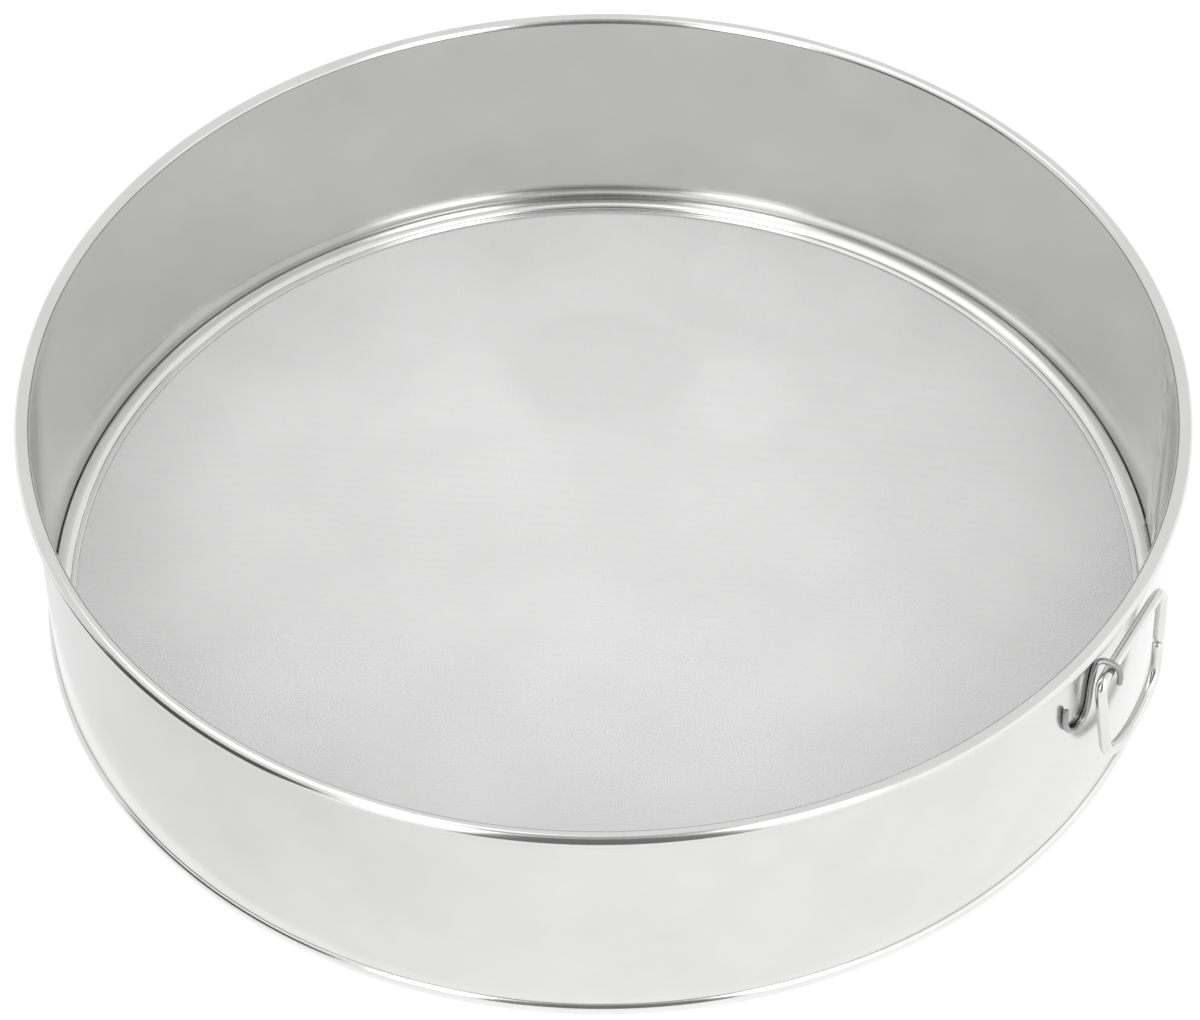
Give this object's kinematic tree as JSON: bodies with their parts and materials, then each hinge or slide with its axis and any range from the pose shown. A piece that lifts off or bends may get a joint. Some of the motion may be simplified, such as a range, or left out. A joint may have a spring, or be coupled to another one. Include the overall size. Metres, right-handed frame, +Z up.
{
  "type": "soil sieve",
  "caption": "Round soil sieve in polished stainless steel: a straight sheet band with a rolled rim, fine woven wire cloth clamped at the bottom, and a swinging wire hanging loop.",
  "frame": {"origin": "on the sieve's axis, at its underside", "axes": "+Z up along the axis, towards the open rim; +X towards the hanging loop"},
  "size_m": [0.3028, 0.3, 0.07],
  "materials": {
    "polished_sheet": "polished stainless steel sheet, faint rolling lines",
    "pressed_ring": "bright pressed stainless steel",
    "woven_wire": "fine plain-weave stainless steel wire cloth",
    "drawn_wire": "bright drawn stainless steel wire"
  },
  "bodies": {
    "sieve": {"wall_band": "polished_sheet", "rim_wire": "drawn_wire", "bottom_hoop": "pressed_ring", "backing_ring": "pressed_ring", "wire_cloth": "woven_wire", "clamp_ring": "pressed_ring", "loop_clip": "drawn_wire"},
    "loop": {"hanging_loop": "drawn_wire"}
  },
  "joints": [
    {"name": "loop_hinge", "type": "hinge", "parent": "sieve", "child": "loop", "pos_m": [0.149, -0.001, 0.0554], "axis": [0, -1, 0], "range_deg": [-3, 156]}
  ]
}
